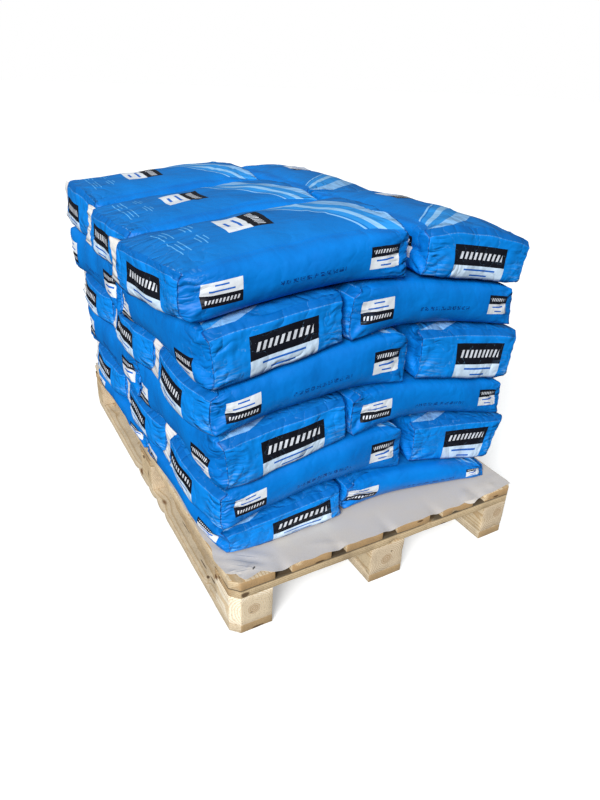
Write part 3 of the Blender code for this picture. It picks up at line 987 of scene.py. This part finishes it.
def timber(node, grain, finish, pith, knocks):
    """One sawn piece in place of its solid. grain is the axis along which it was sawn, and pith says where
    the heart of the tree ran, from the middle of the piece's end."""
    chance = random.Random(node)
    low, high = (Vector(corner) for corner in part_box(node))
    size = high - low
    bpy.ops.object.select_all(action="DESELECT")
    bpy.ops.mesh.primitive_cube_add(size=1.0, location=(low + high) / 2)
    piece = bpy.context.object
    piece.name = f"sawn_{node}"
    piece.scale = size
    bpy.ops.object.transform_apply(location=True, rotation=True, scale=True)
    bpy.ops.object.mode_set(mode="EDIT")
    bpy.ops.mesh.select_mode(type="VERT")
    for axis in range(3):
        cut_across(piece, axis, max(1, round(size[axis] / TIMBER_CELL) - 1))
    chamfer_corners(low, high)
    knock_edges(piece, chance, knocks)
    bpy.ops.object.mode_set(mode="OBJECT")
    worn = piece.modifiers.new("worn_arris", "BEVEL")
    worn.width = ARRIS_WEAR
    worn.segments = 2
    worn.limit_method = "ANGLE"
    worn.angle_limit = math.radians(35)
    for name, scale, strength in SAWN_FACES:
        rough = piece.modifiers.new(name, "DISPLACE")
        rough.texture = bpy.data.textures.get(name) or rough_texture(name, scale)
        rough.texture_coords = "GLOBAL"
        rough.strength = strength
        rough.mid_level = 0.62
    for modifier in list(piece.modifiers):
        bpy.ops.object.modifier_apply(modifier=modifier.name)
    bpy.ops.object.shade_smooth_by_angle(angle=math.radians(40))
    mark_grain(piece.data, low, high, grain, pith, chance)
    piece.data.materials.append(finish)
    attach(piece, "root")
    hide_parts(node)


def mark_grain(mesh, low, high, grain, pith, chance):
    """Stores where each point lies in the log it was sawn from: along it, and across from its heart. The end
    faces are marked as end grain."""
    spots = np.zeros(len(mesh.vertices) * 3)
    mesh.vertices.foreach_get("co", spots)
    spots = spots.reshape(-1, 3)
    middle = np.array((low + high) / 2)
    other = 1 - grain
    along = spots[:, grain] + chance.uniform(0.0, 40.0)
    grown = np.stack((along, spots[:, other] - middle[other] - pith[0], spots[:, 2] - middle[2] - pith[1]),
                     axis=1)
    store = mesh.attributes.new("Grain", "FLOAT_VECTOR", "POINT")
    store.data.foreach_set("vector", grown.ravel())
    from_end = np.minimum(spots[:, grain] - low[grain], high[grain] - spots[:, grain])
    ends = mesh.attributes.new("End", "FLOAT", "POINT")
    ends.data.foreach_set("value", (from_end < END_GRAIN_DEPTH).astype(float))


def oval(tree, spot, middle, half_size, turn=0.0):
    """How far each point is from the middle of an oval mark: 1 on its rim."""
    mark = add(tree, "Mapping", {"Vector": spot, "Location": middle, "Rotation": (0.0, 0.0, turn),
                                 "Scale": half_size}, vector_type="TEXTURE")
    return add(tree, "VectorMath", (mark,), operation="LENGTH").outputs["Value"]


def pine_grain(tree, pale, late, end_pale):
    """The wood itself. Gives its colour and its fibres."""
    grown = add(tree, "Attribute", attribute_name="Grain").outputs["Vector"]
    end = add(tree, "Attribute", attribute_name="End").outputs["Fac"]

    # Year rings 5 mm apart, wavering along the log, and pushed aside by knots 90 mm apart across it
    waver = add(tree, "Mapping", {"Vector": grown, "Scale": (1.6, 12.0, 12.0)})
    waver = add(tree, "TexNoise", {"Vector": waver, "Scale": 1.0, "Detail": 2.0})
    knots = add(tree, "Mapping", {"Vector": grown, "Scale": (5.0, 11.0, 11.0)})
    knots = add(tree, "TexVoronoi", {"Vector": knots, "Scale": 1.0, "Randomness": 1.0}).outputs["Distance"]
    near_knot = add(tree, "MapRange", (knots, 0.05, 0.32, 1.0, 0.0), interpolation_type="SMOOTHSTEP")
    push = add(tree, "Math", (near_knot, 0.006), operation="MULTIPLY")
    push = add(tree, "Math", (waver, 0.010, push), operation="MULTIPLY_ADD")
    moved = add(tree, "VectorMath", (grown, add(tree, "CombineXYZ", (0.0, push, push))), operation="ADD")
    rings = add(tree, "TexWave", {"Vector": moved, "Scale": 66.0, "Distortion": 0.5, "Detail": 1.0},
                wave_type="RINGS", rings_direction="X", wave_profile="SAW")
    late_wood = add(tree, "MapRange", (rings, 0.45, 1.0, 0.0, 1.0), interpolation_type="SMOOTHSTEP")

    # Fibres some 60 mm long, drawn 1 mm across, which is as coarse as they need to be to show
    fibre = add(tree, "Mapping", {"Vector": grown, "Scale": (16.0, 900.0, 900.0)})
    fibre = add(tree, "TexNoise", {"Vector": fibre, "Scale": 1.0, "Detail": 2.0})
    early = add(tree, "Mix", (end, hex_colour(pale), hex_colour(end_pale)), data_type="RGBA")
    share = add(tree, "Math", (fibre, 0.55, late_wood), operation="MULTIPLY_ADD")
    share = add(tree, "Math", (share, 0.66), operation="MULTIPLY")
    colour = add(tree, "Mix", (share, early, hex_colour(late)), data_type="RGBA")
    heart = add(tree, "MapRange", (knots, 0.05, 0.11, 1.0, 0.0), interpolation_type="SMOOTHSTEP")
    colour = add(tree, "Mix", (heart, colour, hex_colour("#6B4526")), data_type="RGBA")

    # The darker heart of the log, where a piece holds it
    core = add(tree, "VectorMath", (moved, (0.0, 1.0, 1.0)), operation="MULTIPLY")
    core = add(tree, "VectorMath", (core,), operation="LENGTH").outputs["Value"]
    core = add(tree, "MapRange", (core, 0.012, 0.016, 0.62, 0.0))
    by_ring = add(tree, "Math", (late_wood, 0.5, 0.5), operation="MULTIPLY_ADD")
    core = add(tree, "Math", (core, by_ring), operation="MULTIPLY")
    return add(tree, "Mix", (core, colour, hex_colour("#A27B4E")), data_type="RGBA"), fibre


def yard_dirt_and_painted_shade(tree, spot, grime, holes, shaded_above, colour):
    """What a yard leaves on timber: specks of 3 mm held by the fuzz of the saw cut, grime in patches 70 mm
    wide, and dark hollows with a ragged rim where a knot or splinter came out. Above shaded_above the piece
    is painted dark: painted shade, for the tops of the cross boards in the shade between the deck boards."""
    specks = add(tree, "TexNoise", {"Vector": spot, "Scale": 330.0, "Detail": 2.0, "Roughness": 0.6})
    specks = add(tree, "MapRange", (specks, 0.50, 0.68, 0.0, 0.42))
    colour = add(tree, "Mix", (specks, colour, hex_colour("#8A7150")), data_type="RGBA")
    patches = add(tree, "TexNoise", {"Vector": spot, "Scale": 14.0, "Detail": 6.0, "Roughness": 0.7})
    patches = add(tree, "MapRange", (patches, 0.45, 0.75, 0.0, grime))
    colour = add(tree, "Mix", (patches, colour, hex_colour("#85725A")), data_type="RGBA")
    ragged = add(tree, "TexNoise", {"Vector": spot, "Scale": 90.0, "Detail": 2.0})
    for middle, half_size in holes:
        hollow = oval(tree, spot, middle, half_size)
        hollow = add(tree, "Math", (ragged, 0.8, hollow), operation="MULTIPLY_ADD")
        hollow = add(tree, "MapRange", (hollow, 1.05, 1.45, 0.85, 0.0))
        colour = add(tree, "Mix", (hollow, colour, hex_colour("#4A3320")), data_type="RGBA")
    # Painted shade: the piece is darker above shaded_above
    level = add(tree, "SeparateXYZ", (spot,)).outputs[2]
    painted_shade = add(tree, "MapRange", (level, shaded_above - 0.0025, shaded_above, 0.0, 0.86))
    return add(tree, "Mix", (painted_shade, colour, hex_colour("#2E261F")), data_type="RGBA")


def sawn_pine(name, pale, late, end_pale, grime, holes, shaded_above=1.0):
    """Band-sawn pine, dried and left out in a yard. The eye sees pale early wood between tan late-wood lines
    5 mm apart, rings on the cut ends, brown knots, a dull fuzzy surface, and grey dust where it lay open."""
    material, tree = new_material(name)
    spot = add(tree, "TexCoord").outputs["Object"]
    colour, fibre = pine_grain(tree, pale, late, end_pale)
    colour = yard_dirt_and_painted_shade(tree, spot, grime, holes, shaded_above, colour)

    # The saw's tooth marks, 4 mm apart
    teeth = add(tree, "TexNoise", {"Vector": spot, "Scale": 260.0, "Detail": 3.0})
    relief = add(tree, "Math", (fibre, 0.6, teeth), operation="MULTIPLY_ADD")
    bump = add(tree, "Bump", {"Height": relief, "Strength": 0.6, "Distance": 0.0008})
    shader = add(tree, "BsdfPrincipled", {"Base Color": colour, "Roughness": 0.82, "Specular IOR Level": 0.25,
                                          "Normal": bump})
    add(tree, "OutputMaterial", (shader,))
    return material


def build_pallet():
    blocks = sawn_pine("sawn_pine_blocks", "#DECDAC", "#B8976A", "#E6D8BF", 0.40, BLOCK_HOLES)
    # A lighter copy of the block pine: painted light, for the sun on the front left block
    sunlit_block = sawn_pine("fresh_pine_block", "#FFF6E2", "#E0C497", "#E6D8BF", 0.25, LIT_BLOCK_HOLES)
    deck = sawn_pine("sawn_pine_deck", "#E9D8B8", "#BE9965", "#BF9F77", 0.55, DECK_HOLES)
    # The cross boards get painted shade on their tops, where the deck boards shade them
    bearers = sawn_pine("sawn_pine_cross_boards", "#DDCBA8", "#B08C5C", "#CBB08A", 0.6, CROSS_BOARD_HOLES,
                        CROSS_BOARD_SHADE_LEVEL)
    runners = sawn_pine("dusty_pine_runners", "#E0D2B8", "#BDA27A", "#B39770", 0.45, BOTTOM_BOARD_HOLES)
    chance = random.Random(12)
    hearts = {"block_front_left": (0.009, 0.005), "block_front_centre": (0.004, 0.000),
              "block_front_right": (0.010, 0.014)}
    for side in ("left", "centre", "right"):
        timber(f"bottom_board_{side}", 1, runners, (chance.uniform(-0.03, 0.03), -0.05), 14)
    for end in ("front", "middle", "back"):
        timber(f"cross_board_{end}", 0, bearers, (chance.uniform(-0.03, 0.03), -0.06), 10)
        for side in ("left", "centre", "right"):
            usual = (chance.uniform(-0.06, 0.06), chance.uniform(-0.05, 0.05))
            heart = hearts.get(f"block_{end}_{side}", usual)
            # The front left block gets the lighter, painted-light copy of the pine
            finish = sunlit_block if (end, side) == ("front", "left") else blocks
            timber(f"block_{end}_{side}", 1, finish, heart, 6)
    for number in range(1, DECK_BOARDS + 1):
        timber(f"deck_board_{number}", 1, deck, (chance.uniform(-0.03, 0.03), -0.045), 12)


# The slip sheet


def sheet_lift(x, y, front, by_edge, chance):
    """How far the sheet stands off the deck: dips between the boards by the open front edge, a wavy edge, and
    the creases."""
    flat = np.stack((x, y), axis=1)
    pitch = (PALLET_WIDTH - DECK_BOARD_WIDTH) / (DECK_BOARDS - 1)
    from_gap = np.abs((x + PALLET_WIDTH / 2 - DECK_BOARD_WIDTH / 2) / pitch % 1.0 - 0.5) * pitch
    over_gap = smooth((DIP_HALF_WIDTH - from_gap) / DIP_EASE)
    lift = -DIP * over_gap * np.exp(-front / DIP_REACH)
    lift += EDGE_WAVE * (0.5 + 0.5 * ripple(flat, 0.14, chance)) * by_edge * (1.0 - over_gap)
    for start, finish, height, width in SHEET_CREASES:
        sharp = crease(flat, start, finish, width) ** 0.5
        lift += height * np.maximum(0.0, sharp - 0.3) / 0.7
    return np.maximum(lift, -DEEPEST_DIP)


def build_sheet():
    """A stiff sheet of grey paper board on the deck. It dips between the boards where nothing weighs on it,
    and its near left corner is crumpled and torn."""
    low, high = (np.array(corner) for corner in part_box("slip_sheet"))
    columns = low[0] + (high[0] - low[0]) * np.linspace(0.0, 1.0, SHEET_COLUMNS) ** 1.2
    rows = low[1] + (high[1] - low[1]) * np.linspace(0.0, 1.0, SHEET_ROWS) ** 1.3
    x, y = (grid.ravel() for grid in np.meshgrid(columns, rows, indexing="ij"))
    chance = random.Random("sheet")
    front = y - low[1]
    left = x - low[0]
    by_edge = np.exp(-np.minimum(np.minimum(front, high[1] - y), np.minimum(left, high[0] - x)) / 0.03)
    lift = sheet_lift(x, y, front, by_edge, chance)

    # The torn corner, the uneven cut of the front and left edges, and a tongue that hangs over the front
    ragged_left = np.interp(y, *LEFT_CUT) + 0.0022 * ripple(np.stack((y, y * 0), axis=1), 0.06, chance)
    ragged_front = np.interp(x, *FRONT_CUT) + 0.0016 * ripple(np.stack((x, x * 0), axis=1), 0.05, chance)
    tongue = np.exp(-((x - TONGUE_AT) / TONGUE_WIDTH) ** 4)
    moved_x = x + ragged_left * np.exp(-left / 0.012)
    moved_y = y + ragged_front * np.exp(-front / 0.018)
    moved_y -= TONGUE_OUT * tongue * np.exp(-front / 0.006)
    z = low[2] + 0.0002 + lift
    z -= TONGUE_DOWN * tongue * (moved_y < -PALLET_LENGTH / 2 - 0.002)

    number = np.arange(len(x)).reshape(len(columns), len(rows))
    corners = (number[:-1, :-1], number[1:, :-1], number[1:, 1:], number[:-1, 1:])
    quads = np.stack([corner.ravel() for corner in corners], axis=1)
    mesh = bpy.data.meshes.new("grey_board_sheet")
    mesh.from_pydata(np.column_stack((moved_x, moved_y, z)).tolist(), [], quads.tolist())
    mesh.shade_smooth()
    sheet = bpy.data.objects.new("grey_board_sheet", mesh)
    bpy.context.scene.collection.objects.link(sheet)
    thick = sheet.modifiers.new("thickness", "SOLIDIFY")
    thick.thickness = SHEET_THICKNESS
    thick.offset = 1.0
    bpy.ops.object.select_all(action="DESELECT")
    bpy.context.view_layer.objects.active = sheet
    sheet.select_set(True)
    bpy.ops.object.modifier_apply(modifier=thick.name)
    bpy.ops.object.shade_smooth_by_angle(angle=math.radians(24))
    sheet.data.materials.append(grey_board())
    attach(sheet, "root")
    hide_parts("slip_sheet")


def grey_board():
    """Recycled paper board, uncoated. The eye sees a flat matt grey, warmer in patches 220 mm wide, and faint
    mottling from its fibres. The slit and the creases of the crumpled corner get painted shade, bluish by the
    creases."""
    material, tree = new_material("recycled_grey_board")
    spot = add(tree, "TexCoord").outputs["Object"]
    clouds = add(tree, "TexNoise", {"Vector": spot, "Scale": 4.5, "Detail": 4.0, "Roughness": 0.6})
    share = add(tree, "MapRange", (clouds, 0.35, 0.65, 0.0, 1.0))
    colour = add(tree, "Mix", (share, hex_colour("#D0CCC9"), hex_colour("#D8CEC1")), data_type="RGBA")
    # Painted shade: the slit is not cut, only painted dark
    slit = add(tree, "Math", (oval(tree, spot, *SHADED_SLIT), 1.0), operation="LESS_THAN")
    colour = add(tree, "Mix", (slit, colour, hex_colour("#37332F")), data_type="RGBA")
    # Painted shade along the corner's creases, tinted with reflected blue
    for middle, turn, half in CREASE_SHADE_MARKS:
        mark = oval(tree, spot, middle, (half, 0.0011, 0.02), turn)
        mark = add(tree, "MapRange", (mark, 0.3, 1.0, 0.75, 0.0))
        colour = add(tree, "Mix", (mark, colour, hex_colour("#5F6D84")), data_type="RGBA")

    # Fibres, drawn 2 mm across, which is as coarse as they need to be to show
    fibre = add(tree, "TexNoise", {"Vector": spot, "Scale": 420.0, "Detail": 4.0, "Roughness": 0.7})
    speck = add(tree, "MapRange", (fibre, 0.30, 0.75, 0.0, 0.35))
    colour = add(tree, "Mix", (speck, colour, hex_colour("#A79F94")), data_type="RGBA")
    bump = add(tree, "Bump", {"Height": fibre, "Strength": 0.25, "Distance": 0.0003})
    shader = add(tree, "BsdfPrincipled", {"Base Color": colour, "Roughness": 0.9, "Specular IOR Level": 0.2,
                                          "Normal": bump})
    add(tree, "OutputMaterial", (shader,))
    return material


# Stage, light and camera


def build_stage():
    """A white floor that shows the shadow. It throws no light on the load and isn't mirrored in it."""
    bpy.ops.object.select_all(action="DESELECT")
    bpy.ops.mesh.primitive_plane_add(size=80.0, location=(0.0, 0.0, -0.0008))
    floor = bpy.context.object
    floor.name = "studio_floor"
    bpy.ops.object.transform_apply(location=True, rotation=True, scale=True)
    floor.visible_diffuse = False
    floor.visible_glossy = False
    material, tree = new_material("matt_white_floor")
    shader = add(tree, "BsdfPrincipled", {"Base Color": hex_colour("#F7F7F6"), "Roughness": 0.9,
                                          "Specular IOR Level": 0.1, "Emission Color": (1.0, 1.0, 1.0, 1.0),
                                          "Emission Strength": 0.34})
    add(tree, "OutputMaterial", (shader,))
    floor.data.materials.append(material)


def build_light():
    """A pale sky, dim below except for what a glossy face mirrors of the lit yard, a white backdrop for the
    camera, and a low soft sun."""
    world = bpy.data.worlds.new("studio")
    world.use_nodes = True
    tree = world.node_tree
    tree.nodes.clear()
    way = add(tree, "SeparateXYZ", (add(tree, "TexCoord").outputs["Generated"],)).outputs[2]
    ground = (0.018, 0.018, 0.018, 1.0)
    lit_yard = (0.04, 0.04, 0.04, 1.0)
    zenith = (0.31, 0.33, 0.35, 1.0)
    light = add(tree, "LightPath")
    below = add(tree, "Mix", (light.outputs["Is Glossy Ray"], ground, lit_yard), data_type="RGBA")
    share = add(tree, "MapRange", (way, -0.15, 1.0, 0.0, 1.0))
    sky = add(tree, "Mix", (share, below, zenith), data_type="RGBA")
    shown = add(tree, "Mix", (light.outputs["Is Camera Ray"], sky, (1.0, 1.0, 1.0, 1.0)), data_type="RGBA")
    add(tree, "OutputWorld", (add(tree, "Background", (shown, 1.0)),))
    bpy.context.scene.world = world
    sun = bpy.data.lights.new("sun", "SUN")
    sun.energy = SUN_STRENGTH
    sun.angle = math.radians(SUN_SPREAD)
    lamp = bpy.data.objects.new("sun", sun)
    lamp.rotation_euler = Vector(SUN_FROM).to_track_quat("Z", "Y").to_euler()
    bpy.context.scene.collection.objects.link(lamp)
    bpy.context.scene.view_settings.view_transform = "Standard"


def build_camera():
    yaw, pitch, roll = (math.radians(turn) for turn in (YAW, PITCH, ROLL))
    ahead = Vector((math.sin(-yaw) * math.cos(pitch), math.cos(yaw) * math.cos(pitch), math.sin(pitch)))
    level = Vector((math.cos(yaw), math.sin(yaw), 0.0))
    upright = level.cross(ahead)
    right = math.cos(roll) * level + math.sin(roll) * upright
    up = math.cos(roll) * upright - math.sin(roll) * level
    lens = bpy.data.cameras.new("camera")
    lens.sensor_width = SENSOR
    lens.lens = FOCAL_PIXELS / FRAME_HEIGHT * SENSOR
    camera = bpy.data.objects.new("camera", lens)
    turn = Matrix((right, up, -ahead)).transposed()
    camera.matrix_world = Matrix.Translation(EYE) @ turn.to_4x4()
    bpy.context.scene.collection.objects.link(camera)
    bpy.context.scene.camera = camera


def build_sacks():
    along = spaced(HALF_LENGTH)
    across = spaced(HALF_WIDTH)
    bend = np.linspace(-1.0, 1.0, HEIGHT_MARKS)
    up = lerp(bend, np.sin(bend * math.pi / 2), MARK_CROWDING)
    grid = box_grid(along, across, up)
    finish = printed_paper()
    for layer in range(1, TOP_LAYER + 1):
        for letter in "abcde":
            make_sack(f"sack_{layer}_{letter}", grid, finish)


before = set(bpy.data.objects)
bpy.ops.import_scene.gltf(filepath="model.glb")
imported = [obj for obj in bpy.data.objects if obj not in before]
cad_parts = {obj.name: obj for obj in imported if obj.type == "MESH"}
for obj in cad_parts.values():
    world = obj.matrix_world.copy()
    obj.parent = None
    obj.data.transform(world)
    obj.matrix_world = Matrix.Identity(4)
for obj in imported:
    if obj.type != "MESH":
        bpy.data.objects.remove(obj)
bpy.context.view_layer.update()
build_camera()
build_light()
build_stage()
build_pallet()
build_sheet()
build_sacks()
